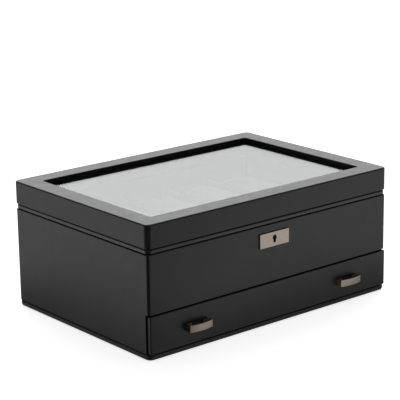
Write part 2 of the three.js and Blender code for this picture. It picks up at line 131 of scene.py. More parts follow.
def filleted(profile, closed=True):
    """The profile's (inset, level, plan radius) points, with each corner rounded.

    A corner is (inset, level, fillet, plan radius), with the outline's plan radius at that corner.
    """
    points = []
    count = len(profile)
    for index, (inset, level, fillet, corner) in enumerate(profile):
        here = Vector((inset, level))
        if fillet == 0 or (not closed and index in (0, count - 1)):
            points.append((inset, level, corner))
            continue
        before = (Vector(profile[index - 1][:2]) - here).normalized()
        after = (Vector(profile[(index + 1) % count][:2]) - here).normalized()
        half = before.angle(after) / 2
        centre = here + (before + after).normalized() * fillet / math.sin(half)
        start = (here + before * fillet / math.tan(half) - centre).normalized()
        end = (here + after * fillet / math.tan(half) - centre).normalized()
        for step in range(FILLET_STEPS + 1):
            point = centre + start.slerp(end, step / FILLET_STEPS) * fillet
            points.append((point.x, point.y, corner + inset - point.x))
    return points


def lofted(name, rings, closed=False):
    """A skin over rings of as many points each: a tube closed on itself, or one with flat ends."""
    bm = bmesh.new()
    made = [[bm.verts.new(point) for point in ring] for ring in rings]
    pairs = list(zip(made, made[1:]))
    if closed:
        pairs.append((made[-1], made[0]))
    for lower, upper in pairs:
        for index in range(len(lower)):
            after = (index + 1) % len(lower)
            bm.faces.new((lower[index], lower[after], upper[after], upper[index]))
    if not closed:
        bm.faces.new(made[0])
        bm.faces.new(made[-1])
    return mesh_object(name, bm)


def plan_frame(name, profile, half_x=HALF_W, half_y=HALF_D):
    """A closed profile run round a rounded rectangle, as a picture frame is."""
    rings = [plan_ring(half_x - inset, half_y - inset, radius, level)
             for inset, level, radius in filleted(profile)]
    return lofted(name, rings, closed=True)


def plan_slab(name, profile, half_x, half_y):
    """A slab whose edge follows an open profile from its underside to its top."""
    rings = [plan_ring(half_x - inset, half_y - inset, radius, level)
             for inset, level, radius in filleted(profile, closed=False)]
    return lofted(name, rings)


def prism(name, outline, low, high, axis="Z"):
    """An outline raised along Z, or drawn in X and Z and run along Y."""
    def place(point, level):
        return Vector((*point, level)) if axis == "Z" else Vector((point[0], level, point[1]))

    return lofted(name, [[place(point, level) for point in outline] for level in (low, high)])


def block(name, low, high):
    """A box between two corners."""
    (x0, y0, z0), (x1, y1, z1) = low, high
    return prism(name, [(x0, y0), (x1, y0), (x1, y1), (x0, y1)], z0, z1)


def turned(name, profile, centre, axis="Z", sides=24):
    """A profile of (radius, level) points turned about an axis through centre.

    It starts and ends on the axis.
    """
    bm = bmesh.new()
    rings = [[bm.verts.new((radius * math.cos(math.tau * side / sides),
                            radius * math.sin(math.tau * side / sides), level))
              for side in range(sides if radius else 1)] for radius, level in profile]
    for lower, upper in zip(rings, rings[1:]):
        for side in range(sides):
            after = (side + 1) % sides
            corners = [lower[side % len(lower)], lower[after % len(lower)],
                       upper[after % len(upper)], upper[side % len(upper)]]
            bm.faces.new(list(dict.fromkeys(corners)))
    turn = {"Z": Matrix.Identity(4), "Y": Matrix.Rotation(math.pi / 2, 4, "X")}[axis]
    bm.transform(Matrix.Translation(centre) @ turn)
    return mesh_object(name, bm)


def apply_modifiers(piece):
    """The piece's mesh becomes what its modifiers make of it."""
    depsgraph = bpy.context.evaluated_depsgraph_get()
    mesh = bpy.data.meshes.new_from_object(piece.evaluated_get(depsgraph))
    piece.modifiers.clear()
    piece.data = mesh
    return piece


def combined(piece, operation, others):
    """The piece joined with the other objects, or cut by them. The others are removed."""
    for other in others:
        modifier = piece.modifiers.new(operation, "BOOLEAN")
        modifier.operation = operation
        modifier.solver = "EXACT"
        modifier.object = other
    apply_modifiers(piece)
    for other in others:
        bpy.data.objects.remove(other)
    return piece


def cut(piece, *cutters):
    return combined(piece, "DIFFERENCE", cutters)


def join(piece, *others):
    return combined(piece, "UNION", others)


def edit(piece, change):
    """Runs change on the piece's bmesh, in millimetres."""
    bm = bmesh.new()
    bm.from_mesh(piece.data)
    bm.transform(Matrix.Scale(1 / MM, 4))
    change(bm)
    bm.transform(Matrix.Scale(MM, 4))
    bm.to_mesh(piece.data)
    bm.free()
    return piece


SAME_PLACE = 0.005             # points nearer than this are one
FLAT = math.radians(0.5)       # faces that turn by less than this are one


def round_edges(piece, radius, steps=3, sharper_than=50):
    """Rounds every edge whose faces turn by more than an angle in degrees."""
    def change(bm):
        bmesh.ops.remove_doubles(bm, verts=bm.verts, dist=SAME_PLACE)
        bmesh.ops.dissolve_limit(bm, angle_limit=FLAT, verts=bm.verts, edges=bm.edges)
        limit = math.radians(sharper_than)
        edges = [edge for edge in bm.edges
                 if len(edge.link_faces) == 2 and edge.calc_face_angle() > limit]
        bmesh.ops.bevel(bm, geom=edges, offset=radius, offset_type="OFFSET", segments=steps,
                        profile=0.5, affect="EDGES", clamp_overlap=True)
        bmesh.ops.recalc_face_normals(bm, faces=bm.faces)

    return edit(piece, change)


def copied(node, name, radius, steps=2):
    """A CAD node's solid as a new piece with its edges rounded."""
    mesh = frame["nodes"][node].data.copy()
    for attribute in [a.name for a in mesh.attributes if "normal" in a.name]:
        mesh.attributes.remove(mesh.attributes[attribute])
    mesh.materials.clear()
    piece = bpy.data.objects.new(name, mesh)
    bpy.context.scene.collection.objects.link(piece)
    return round_edges(piece, radius, steps)


def smooth(piece):
    """Smooth shading, with flat faces kept flat beside their rounded edges."""
    piece.data.shade_smooth()
    piece.data.set_sharp_from_angle(angle=SHARP)
    modifier = piece.modifiers.new("flat_faces", "WEIGHTED_NORMAL")
    modifier.keep_sharp = True
    modifier.weight = 100
    return piece


def dress(piece, material, *nodes, body=None):
    """Gives a piece its material, the body it rides on and the CAD nodes it stands for."""
    piece.data.materials.clear()
    piece.data.materials.append(material)
    for polygon in piece.data.polygons:
        polygon.material_index = 0
    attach(piece, body or BODY_OF[nodes[0]])
    if nodes:
        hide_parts(*nodes)
    return piece


# ---- Materials --------------------------------------------------------------------------------

class Material:
    """A node material about one Principled shader, with short calls for the textures behind it."""

    def __init__(self, name, **settings):
        self.block = bpy.data.materials.new(name)
        self.block.use_nodes = True
        self.tree = self.block.node_tree
        self.shader = next(node for node in self.tree.nodes if node.type == "BSDF_PRINCIPLED")
        for socket, value in settings.items():
            self.shader.inputs[socket.replace("_", " ")].default_value = value
        self.place = self.add("ShaderNodeTexCoord").outputs["Object"]

    def add(self, kind, inputs=None, **settings):
        """A node, with its settings, and its inputs linked or set."""
        node = self.tree.nodes.new(kind)
        for setting, value in settings.items():
            setattr(node, setting, value)
        for socket, value in (inputs or {}).items():
            if isinstance(value, bpy.types.NodeSocket):
                self.tree.links.new(value, node.inputs[socket])
            else:
                node.inputs[socket].default_value = value
        return node

    def stretched(self, factors):
        """The place on the surface with each axis multiplied, to draw a texture out."""
        scaled = self.add("ShaderNodeVectorMath", {0: self.place, 1: factors}, operation="MULTIPLY")
        return scaled.outputs[0]

    def noise(self, size, detail=3, roughness=0.55, place=None, distortion=0.0):
        """Cloudy noise from 0 to 1 whose patches are about size millimetres across."""
        inputs = {"Vector": place or self.place, "Scale": 1 / (size * MM), "Detail": detail,
                  "Roughness": roughness, "Distortion": distortion}
        return self.add("ShaderNodeTexNoise", inputs).outputs["Fac"]

    def cells(self, size, place):
        """Distance in rounded cells about size millimetres across."""
        inputs = {"Vector": place, "Scale": 1 / (size * MM)}
        return self.add("ShaderNodeTexVoronoi", inputs, feature="SMOOTH_F1").outputs["Distance"]

    def spread(self, value, low, high, source=(0.3, 0.7)):
        """A value's middle range stretched to run from low to high."""
        inputs = {"Value": value, "From Min": source[0], "From Max": source[1],
                  "To Min": low, "To Max": high}
        return self.add("ShaderNodeMapRange", inputs).outputs["Result"]

    def blend(self, share, first, second):
        """Two colours mixed by a share."""
        node = self.add("ShaderNodeMix", {0: share, 6: first, 7: second}, data_type="RGBA")
        return node.outputs[2]

    def plus(self, first, second, share=1.0):
        """first + second * share."""
        inputs = {0: second, 1: share, 2: first}
        return self.add("ShaderNodeMath", inputs, operation="MULTIPLY_ADD").outputs[0]

    def finish(self, colour, roughness, height, depth):
        """Links colour and roughness, and a bump of that depth in millimetres."""
        inputs = {"Height": height, "Distance": depth * MM, "Strength": 1.0}
        bump = self.add("ShaderNodeBump", inputs)
        links = {"Base Color": colour, "Roughness": roughness, "Normal": bump.outputs["Normal"]}
        for socket, source in links.items():
            self.tree.links.new(source, self.shader.inputs[socket])
        return self.block


def grey(level, tint=(1, 1, 1)):
    """An opaque colour of that level, with each channel multiplied by the tint."""
    return (*(level * share for share in tint), 1)


def leather(name, dark, light, shine, grain, gloss=0.5):
    """Smooth leather: pebbled grain about a millimetre across, soft mottling and fine creases.

    dark and light are the ends of its mottling, shine is its range of roughness, and grain is how
    deep the pebbles are in millimetres.
    """
    made = Material(name, Specular_IOR_Level=gloss)
    mottle = made.spread(made.noise(28, detail=5, roughness=0.6), 0, 1)
    fine = made.noise(1.6, detail=4)
    share = made.plus(mottle, made.spread(fine, -0.5, 0.5), 0.35)
    colour = made.blend(share, grey(dark), grey(light))
    worn = made.spread(made.noise(14, detail=4), *shine)
    rough = made.plus(worn, made.spread(fine, -0.5, 0.5), 0.06)
    pebbles = made.cells(0.9, made.stretched((1, 1, 0.9)))
    creases = made.noise(5, detail=6, roughness=0.7)
    height = made.plus(made.plus(pebbles, creases, 0.9), fine, 0.5)
    return made.finish(colour, rough, height, grain)


def suede(name, level, tint):
    """Microsuede: short brushed nap, with patches where it lies another way."""
    made = Material(name, Sheen_Weight=0.35, Sheen_Roughness=0.45, Specular_IOR_Level=0.2,
                    Sheen_Tint=grey(0.55, tint))
    brushed = made.spread(made.noise(11, detail=5, roughness=0.65, distortion=0.8), 0, 1)
    nap = made.noise(0.35, detail=2)
    share = made.plus(brushed, made.spread(nap, -0.5, 0.5), 0.5)
    colour = made.blend(share, grey(level * 0.7, tint), grey(level * 1.35, tint))
    rough = made.spread(nap, 0.8, 0.97)
    return made.finish(colour, rough, made.plus(nap, brushed, 0.6), 0.12)


def felt():
    """Pressed felt: fibres lying every way."""
    made = Material("felt", Sheen_Weight=0.2, Sheen_Roughness=0.6, Specular_IOR_Level=0.15)
    fibres = made.noise(0.8, detail=4, roughness=0.7, distortion=2.5)
    patches = made.noise(9, detail=3)
    share = made.plus(made.spread(fibres, 0, 0.8), patches, 0.3)
    colour = made.blend(share, grey(0.006), grey(0.02))
    return made.finish(colour, made.spread(fibres, 0.85, 1), fibres, 0.15)


def stained_board():
    """Black stained board, its grain along the piece and its pores showing through."""
    made = Material("stained_board", Specular_IOR_Level=0.35)
    along = made.stretched((1, 0.08, 1))
    grain = made.noise(1.4, detail=6, roughness=0.65, place=along, distortion=0.6)
    bands = made.noise(9, detail=3, place=along)
    share = made.plus(made.spread(grain, 0, 0.8), bands, 0.3)
    colour = made.blend(share, grey(0.012, (1, 0.95, 0.9)), grey(0.045, (1, 0.93, 0.86)))
    return made.finish(colour, made.spread(bands, 0.5, 0.7), grain, 0.08)


def brushed_metal(name, level, tint, shine, stroke):
    """Brushed plate: fine strokes along one axis over slow changes of tone."""
    made = Material(name, Metallic=1.0)
    strokes = made.noise(0.25, detail=3, place=made.stretched(stroke))
    tone = made.noise(9, detail=4, roughness=0.6)
    share = made.plus(made.spread(tone, 0, 0.7), strokes, 0.3)
    colour = made.blend(share, grey(level * 0.82, tint), grey(level * 1.12, tint))
    rough = made.plus(made.spread(tone, *shine), made.spread(strokes, -0.5, 0.5), 0.12)
    return made.finish(colour, rough, strokes, 0.012)


def window_glass():
    """Polished pane, faintly smoked and blue, with a trace of unevenness."""
    made = Material("window_glass", Transmission_Weight=1.0, IOR=1.5)
    haze = made.noise(40, detail=4)
    colour = made.blend(haze, grey(0.8, (0.96, 0.98, 1.0)), grey(0.82, (0.97, 0.985, 1.0)))
    return made.finish(colour, made.spread(haze, 0.0, 0.002), haze, 0.000002)


BLACK_LEATHER = leather("black_leather", 0.003, 0.007, (0.30, 0.38), 0.03)
LID_LEATHER = leather("lid_leather", 0.003, 0.007, (0.30, 0.38), 0.03, gloss=0.465)
RIM_LEATHER = leather("rim_leather", 0.003, 0.007, (0.26, 0.34), 0.02, gloss=0.68)
INNER_LEATHER = leather("inner_leather", 0.005, 0.010, (0.5, 0.62), 0.03)
SUEDE = suede("charcoal_suede", 0.05, (1, 0.98, 1.0))
CUSHION_SUEDE = suede("cushion_suede", 0.075, (1, 0.98, 0.97))
FELT = felt()
BOARD = stained_board()
BRONZE = brushed_metal("dark_bronze", 0.44, (1, 0.85, 0.74), (0.28, 0.38), (0.05, 1, 1))
STEEL = brushed_metal("brushed_steel", 0.46, (1, 0.99, 0.97), (0.25, 0.35), (0.05, 1, 1))
GLASS = window_glass()


# ---- Case -------------------------------------------------------------------------------------

BASE_FILLET = {"lower": 2.4, "upper": 0.9}
FELT_FILLET = 0.25
KEYHOLE = {"radius": 2.7, "half_slot": 1.6, "drop": 5.2, "steps": 20}
CASE_FILLET = {"foot": 0.8, "top": 1.3, "inside": 0.6, "bay": 0.7}
BAY_OVERLAP = 0.01   # the bay's cutter goes this far into the space behind the front wall


def make_base():
    """The covered base board with rounded corners and edges, and the felt under it."""
    lower, upper = BASE_FILLET["lower"], BASE_FILLET["upper"]
    outline = [
        (lower, BASE_LOW.z, 0, BASE_CORNER - lower), (0, BASE_LOW.z, lower * 0.95, BASE_CORNER),
        (0, BASE_HIGH.z, upper, BASE_CORNER), (upper * 2, BASE_HIGH.z, 0, BASE_CORNER - upper * 2)]
    board = plan_slab("base_board_covered", outline, HALF_W, HALF_D)
    dress(smooth(board), BLACK_LEATHER, "base_board")
    low, high = node_box("base_felt")
    shape = [(0, low.z, 0, BASE_CORNER), (0, high.z, FELT_FILLET, BASE_CORNER),
             (FELT_FILLET * 2, high.z, 0, BASE_CORNER)]
    dress(smooth(plan_slab("base_felt_pad", shape, high.x, high.y)), FELT, "base_felt")


def keyhole(margin=0.0):
    """The keyhole's outline in X and Z: a round hole with a slot down from it."""
    radius, half_slot, drop = (KEYHOLE[size] + margin for size in ("radius", "half_slot", "drop"))
    turn = next(joint for joint in frame["joints"] if joint["name"] == "lock_turn")
    key_z = turn["pos_m"][2] / MM
    steps = KEYHOLE["steps"]
    meet = math.acos(half_slot / radius)
    points = [(half_slot, key_z - drop)]
    for step in range(steps + 1):
        angle = -meet + (math.pi + 2 * meet) * step / steps
        points.append((radius * math.cos(angle), key_z + radius * math.sin(angle)))
    points.append((-half_slot, key_z - drop))
    return points


def hinge_pocket(node, low, high):
    """What a hinge leaf is let into: its own plate's outline, open to the back."""
    box_low, box_high = node_box(node)
    return block("pocket", (box_low.x - GAP, box_low.y - GAP, low),
                 (box_high.x + GAP, HALF_D + WELL_PAST, high))


def make_case():
    """The case's four walls under one leather skin, open at the front for the drawer."""
    top = BODY_TOP + SEAM_FILL
    profile = [(0, BASE_HIGH.z, CASE_FILLET["foot"], BODY_CORNER),
               (0, top, CASE_FILLET["top"], BODY_CORNER),
               (WALL, top, CASE_FILLET["inside"], CASE_INNER_CORNER),
               (WALL, BASE_HIGH.z, 0, CASE_INNER_CORNER)]
    case = plan_frame("case_cover", profile, BODY_X, BODY_Y)
    bay = block("bay", (WALL - BODY_X, -BODY_Y - WELL_PAST, 0),
                (BODY_X - WALL, WALL - BODY_Y + BAY_OVERLAP, BAY_TOP))
    setback = block("setback", (-BODY_X - WELL_PAST, -BODY_Y - WELL_PAST, 0),
                    (BODY_X + WELL_PAST, LOW_FRONT, BAY_TOP))
    lock_low, lock_high = node_box("lock_case")
    mortise = block("mortise", (lock_low.x - GAP, lock_low.y, lock_low.z),
                    (lock_high.x + GAP, lock_high.y, BODY_TOP + PAST))
    hole = prism("hole", keyhole(GAP), -HALF_D - PAST, lock_low.y + PAST, axis="Y")
    cut(case, bay, setback)
    round_edges(case, CASE_FILLET["bay"])
    pockets = [hinge_pocket(f"hinge_leaf_body_{side}", BODY_TOP - LEAF, BODY_TOP + PAST)
               for side in SIDES]
    cut(case, mortise, hole, *pockets)
    panels = ("front_panel", "back_panel", "side_panel_left", "side_panel_right")
    dress(smooth(case), BLACK_LEATHER, *panels)


TRAY_FILLET = {"floor": 0.4, "lining": 0.8, "divider": 0.9}
TRAY_FILLET_STEPS = 4


def make_tray():
    """The suede-covered floor, linings and dividers."""
    floor = copied("tray_floor", "tray_floor_covered", TRAY_FILLET["floor"])
    dress(smooth(floor), SUEDE, "tray_floor")
    linings = [f"lining_{side}" for side in (*SIDES, "front", "back")]
    dividers = ["long_divider", *(f"cross_divider_{index}" for index in range(1, 5))]
    for kind, nodes in (("lining", linings), ("divider", dividers)):
        for node in nodes:
            covered = copied(node, f"{node}_covered", TRAY_FILLET[kind], TRAY_FILLET_STEPS)
            dress(smooth(covered), SUEDE, node)


# ---- Cushions ---------------------------------------------------------------------------------

CUSHION_LOW, CUSHION_HIGH = node_box("watch_cushion_1")
CUSHION_SIZE = CUSHION_HIGH - CUSHION_LOW
CUSHION_COUNT = 10
CUSHION_ROW = 5      # cushions in a row
CUSHION_KINDS = 3
CUSHION_SEED = 1     # for noise_vector, whose offsets come from the clock when no seed is set
UNSTUFFED = Vector((5, 6, 4))     # how much smaller a cushion is before it is stuffed
CUSHION_EDGE = 6.5   # radius of its long edges
CUSHION_CORNER = 13  # plan radius of its corners
CUSHION_CAP = 7      # from its outline to the flat of its ends
VOXEL = 4.0
UNEVEN = {"patch": 16, "depth": 0.7, "step": 7}
STUFFING = {"pressure": 4, "frames": 20, "most": 4.0}
CUSHION_MARGIN = 0.15
SEAM_IN = 9          # from each end of the cushion to its seam
SEAM_HALF = 2.2
SEAM_DEPTH = 0.9
PUCKER = {"depth": 0.35, "along": 1.1, "up": 1.3}


def cushion_start(kind):
    """A cushion before it is stuffed: a rounded block a little uneven, about its own centre."""
    half = (CUSHION_SIZE - UNSTUFFED) / 2
    cap_corner = CUSHION_CORNER - CUSHION_CAP
    profile = [(CUSHION_CAP, -half.z, 0, cap_corner), (0, -half.z, CUSHION_EDGE, CUSHION_CORNER),
               (0, half.z, CUSHION_EDGE, CUSHION_CORNER), (CUSHION_CAP, half.z, 0, cap_corner)]
    cushion = plan_slab(f"cushion_{kind}", profile, half.x, half.y)
    remesh = cushion.modifiers.new("even", "REMESH")
    remesh.mode = "VOXEL"
    remesh.voxel_size = VOXEL * MM
    apply_modifiers(cushion)

    def uneven(bm):
        offset = Vector((kind * UNEVEN["step"], 0, 0))
        for vertex in bm.verts:
            shift = noise.noise_vector(vertex.co / UNEVEN["patch"] + offset)
            vertex.co += shift * UNEVEN["depth"]

    return edit(cushion, uneven)


def stuffed(piece):
    """Cloth pressure fills the cushion, and each point may move only so far."""
    start = [vertex.co.copy() for vertex in piece.data.vertices]
    cloth = piece.modifiers.new("cloth", "CLOTH")
    cloth.settings.use_pressure = True
    cloth.settings.uniform_pressure_force = STUFFING["pressure"]
    cloth.settings.effector_weights.gravity = 0
    cloth.point_cache.frame_start = 1
    cloth.point_cache.frame_end = STUFFING["frames"]
    for step in range(1, STUFFING["frames"] + 1):
        bpy.context.scene.frame_set(step)
    apply_modifiers(piece)
    most = STUFFING["most"] * MM
    for vertex, place in zip(piece.data.vertices, start):
        move = vertex.co - place
        if move.length > most:
            vertex.co = place + move.normalized() * most
    bpy.context.scene.frame_set(1)


def sewn(piece):
    """One subdivision, the size of the cushion's place, and a seam drawn in round each end."""
    fine = piece.modifiers.new("fine", "SUBSURF")
    fine.levels = fine.render_levels = 1
    apply_modifiers(piece)

    def change(bm):
        reach = [max(abs(vertex.co[axis]) for vertex in bm.verts) for axis in range(3)]
        for vertex in bm.verts:
            vertex.co = Vector(vertex.co[axis] * (CUSHION_SIZE[axis] / 2 - CUSHION_MARGIN)
                               / reach[axis] for axis in range(3))
            off = (abs(vertex.co.y) - (CUSHION_SIZE.y / 2 - SEAM_IN)) / SEAM_HALF
            if abs(off) < 1:
                across = Vector((vertex.co.x, 0, vertex.co.z))
                along, up = vertex.co.x * PUCKER["along"], vertex.co.z * PUCKER["up"]
                pucker = 1 + PUCKER["depth"] * math.sin(along) * math.cos(up)
                vertex.co -= across.normalized() * SEAM_DEPTH * pucker * (1 - off * off)

    return edit(piece, change)


def make_cushions():
    """Ten watch cushions from a few stuffed ones, every second one turned end for end."""
    noise.seed_set(CUSHION_SEED)
    kinds = []
    for kind in range(CUSHION_KINDS):
        cushion = cushion_start(kind)
        stuffed(cushion)
        kinds.append(sewn(cushion))
    for index in range(CUSHION_COUNT):
        node = f"watch_cushion_{index + 1}"
        low, high = node_box(node)
        kind = kinds[(index * 2 + index // CUSHION_ROW) % CUSHION_KINDS]
        mesh = kind.data.copy()
        turn = Matrix.Rotation(math.pi * (index % 2), 4, "Z")
        mesh.transform(Matrix.Translation((low + high) / 2 * MM) @ turn)
        cushion = bpy.data.objects.new(f"{node}_stuffed", mesh)
        bpy.context.scene.collection.objects.link(cushion)
        cushion.data.shade_smooth()
        dress(cushion, CUSHION_SUEDE, node)
    for kind in kinds:
        bpy.data.objects.remove(kind)


# ---- Lock -------------------------------------------------------------------------------------

SLOT = {"half": 0.35, "depth": 0.8, "off": 0.7}   # a cross slot's cutter, and how far it stands off


def cross_slot(centre, reach, axis):
    """The two bars of a cross recess cut into a screw head, as one cutter."""
    half, depth = SLOT["half"], SLOT["depth"]

    def bar(long_x, long_other):
        extent = (long_x, depth, long_other) if axis == "Y" else (long_x, long_other, depth)
        return block("bar", centre - Vector(extent), centre + Vector(extent))

    return join(bar(reach, half), bar(half, reach))


LOCK_FILLET = {"plate": 0.3, "works": 0.2}


def make_lock():
    """The plate with its keyhole, and the works in the front wall behind it."""
    low, high = node_box("lock_plate")
    plate = block("lock_plate_brushed", low, high)
    cut(plate, prism("hole", keyhole(), low.y - PAST, high.y + PAST, axis="Y"))
    dress(smooth(round_edges(plate, LOCK_FILLET["plate"])), BRONZE, "lock_plate")
    for node in ("lock_case", "lock_plug", "lock_bolt"):
        dress(smooth(copied(node, f"{node}_steel", LOCK_FILLET["works"])), STEEL, node)


# ---- Hinges -----------------------------------------------------------------------------------

LEAF_SCREW_SHARES = (0.17, 0.5, 0.83)    # places along the leaf
LEAF_SCREW = {"radius": 1.6, "crown": 0.12, "sunk": 0.5, "slot": 1.0}
HINGE_FILLET = 0.15


def screw_group(name, screws, body):
    """Several screws as one piece that rides on a body."""
    piece = join(*screws)
    piece.name = name
    dress(smooth(piece), STEEL, body=body)


def leaf_screws(name, node, level, facing):
    """Three countersunk screws in a hinge leaf, flush with its face."""
    low, high = node_box(node)
    middle_y = (low.y + HALF_D) / 2
    radius = LEAF_SCREW["radius"]
    crown, sunk = LEAF_SCREW["crown"] * facing, -LEAF_SCREW["sunk"] * facing
    profile = [(0, crown * 1.2), (radius * 0.7, crown), (radius, 0),
               (radius * 0.8, sunk), (0, sunk)]
    screws = []
    for share in LEAF_SCREW_SHARES:
        centre = Vector((low.x + (high.x - low.x) * share, middle_y, level))
        slot_centre = centre + Vector((0, 0, SLOT["off"] * facing))
        head = turned("head", profile, centre)
        screws.append(cut(head, cross_slot(slot_centre, LEAF_SCREW["slot"], "Z")))
    screw_group(name, screws, BODY_OF[node])


def make_hinges():
    """Two butt hinges: leaves, pins and their screws."""
    for side in SIDES:
        for node in (f"hinge_leaf_body_{side}", f"hinge_pin_{side}", f"hinge_leaf_lid_{side}"):
            dress(smooth(copied(node, f"{node}_steel", HINGE_FILLET)), STEEL, node)
        leaf_screws(f"hinge_screws_body_{side}", f"hinge_leaf_body_{side}", BODY_TOP, 1)
        leaf_screws(f"hinge_screws_lid_{side}", f"hinge_leaf_lid_{side}", RIM_LOW.z, -1)


# ---- Lid --------------------------------------------------------------------------------------

RIM_FILLET = {"lower": 0.7, "upper": 2.0, "inside": 0.6}
BOLT_ROOM = Vector((4.2, 0.8, 3.5))    # half width, room about its thickness, and depth
LID_FILLET = {"foot": 1.2, "top": 1.7, "window": 0.9, "rabbet": 0.3, "inside": 0.6}
GLASS_FILLET = 0.3
RETAINER = {"lap": 1.5, "outer": 0.5, "inner": 1.2, "corner": 1}
STRIKE_FILLET = 0.15
STRIKE_SCREW = {"inset": 3.2, "slot": 0.9,
                "profile": [(0, -0.16), (1.0, -0.12), (1.5, 0), (1.2, 0.4), (0, 0.4)]}


def make_rim():
    """The inset bead under the lid, with the strike and the hinge leaves let into it."""
    inset = HALF_W - RIM_HIGH.x
    low_z = RIM_LOW.z - SEAM_FILL
    profile = [(inset, low_z, RIM_FILLET["lower"], RIM_CORNER),
               (inset, RIM_HIGH.z, RIM_FILLET["upper"], RIM_CORNER),
               (LID_WALL, RIM_HIGH.z, 0, LID_INNER_CORNER),
               (LID_WALL, low_z, RIM_FILLET["inside"], LID_INNER_CORNER)]
    rim = plan_frame("lid_rim_covered", profile)
    low, high = node_box("lock_strike")
    recess = block("recess", (low.x - GAP, low.y - GAP, RIM_LOW.z - PAST),
                   (high.x + GAP, high.y + GAP, high.z))
    bolt_low, bolt_high = node_box("lock_bolt")
    pocket = block("pocket", (-BOLT_ROOM.x, bolt_low.y - BOLT_ROOM.y, RIM_LOW.z - PAST),
                   (BOLT_ROOM.x, bolt_high.y + BOLT_ROOM.y, RIM_LOW.z + BOLT_ROOM.z))
    leaves = [hinge_pocket(f"hinge_leaf_lid_{side}", RIM_LOW.z - PAST, RIM_LOW.z + LEAF)
              for side in SIDES]
    dress(smooth(cut(rim, recess, pocket, *leaves)), RIM_LEATHER, "lid_rim")


def make_lid_cover():
    """The lid's rails under one leather skin: window above, rabbet for the glass, hollow below."""
    profile = [
        (0, LID_LOW.z, LID_FILLET["foot"], LID_CORNER),
        (0, LID_HIGH.z, LID_FILLET["top"], LID_CORNER),
        (LID_FRAME, LID_HIGH.z, LID_FILLET["window"], WINDOW_CORNER),
        (LID_FRAME, GLASS_HIGH.z, LID_FILLET["rabbet"], WINDOW_CORNER),
        (RABBET, GLASS_HIGH.z, 0, LID_INNER_CORNER), (RABBET, GLASS_LOW.z, 0, LID_INNER_CORNER),
        (LID_WALL, GLASS_LOW.z, 0, LID_INNER_CORNER),
        (LID_WALL, LID_LOW.z, LID_FILLET["inside"], LID_INNER_CORNER)]
    rails = [f"lid_rail_{side}" for side in ("front", "back", *SIDES)]
    dress(smooth(plan_frame("lid_cover", profile)), LID_LEATHER, *rails)


def make_glazing():
    """The pane, and the leather-covered retainer that holds it from below."""
    pane = copied("glass_pane", "glass_pane_polished", GLASS_FILLET)
    dress(smooth(pane), GLASS, "glass_pane")
    pane.visible_shadow = False
    inner, corner = RETAINER_HIGH.x - (HALF_W - LID_FRAME + RETAINER["lap"]), RETAINER["corner"]
    profile = [
        (0, RETAINER_LOW.z, RETAINER["outer"], corner), (0, RETAINER_HIGH.z, 0, corner),
        (inner, RETAINER_HIGH.z, 0, corner), (inner, RETAINER_LOW.z, RETAINER["inner"], corner)]
    retainer = plan_frame("glass_retainer_covered", profile, RETAINER_HIGH.x, RETAINER_HIGH.y)
    dress(smooth(retainer), INNER_LEATHER, "glass_retainer")


def make_strike():
    """The strike plate with its two screws."""
    strike = copied("lock_strike", "lock_strike_steel", STRIKE_FILLET)
    dress(smooth(strike), STEEL, "lock_strike")
    low, high = node_box("lock_strike")
    screws = []
    for side in (-1, 1):
        centre = Vector((side * (high.x - STRIKE_SCREW["inset"]), (low.y + high.y) / 2, low.z))
        slot_centre = centre - Vector((0, 0, SLOT["off"]))
        head = turned("head", STRIKE_SCREW["profile"], centre)
        screws.append(cut(head, cross_slot(slot_centre, STRIKE_SCREW["slot"], "Z")))
    screw_group("lock_strike_screws", screws, "lid")


# ---- Drawer -----------------------------------------------------------------------------------

FRONT_EDGE = {"corner": 1.6, "outer": 0.9, "back": 0.5}
BOX_FILLET = 0.5
PAD = {"cell": 4.0, "edge": 5.0, "sides": 0.25, "crown": 0.68, "wave": 0.18, "patch": 22, "draw": 3}
PULL = {"strip": 1.5, "end": 7.0, "foot": 6.75, "fillet": 0.3, "steps": 24, "turn": 30}
PULL_SCREW = {"shank": 1.5, "head": 2, "side": 0.9, "slot": 1.5}


def make_drawer_front():
    """The covered drawer front: soft outer edges, nearly square behind."""
    half_z = (FRONT_HIGH.z - FRONT_LOW.z) / 2
    corner = FRONT_EDGE["corner"]
    profile = filleted([
        (corner, FRONT_LOW.y, 0, LEAST_RADIUS), (0, FRONT_LOW.y, FRONT_EDGE["outer"], corner),
        (0, FRONT_HIGH.y, FRONT_EDGE["back"], corner), (corner, FRONT_HIGH.y, 0, LEAST_RADIUS)],
        closed=False)
    middle = FRONT_LOW.z + half_z
    rings = []
    for inset, depth, radius in profile:
        ring = plan_ring(FRONT_HIGH.x - inset, half_z - inset, radius, 0)
        rings.append([Vector((point.x, depth, middle + point.y)) for point in ring])
    dress(smooth(lofted("drawer_front_covered", rings)), BLACK_LEATHER, "drawer_front")


def make_drawer_box():
    """The stained board box of the drawer, and the runners and stop in its bay."""
    box = ("drawer_box_front", "drawer_side_left", "drawer_side_right", "drawer_back",
           "drawer_bottom", "drawer_runner_left", "drawer_runner_right", "drawer_stop")
    for node in box:
        dress(smooth(copied(node, f"{node}_stained", BOX_FILLET)), BOARD, node)


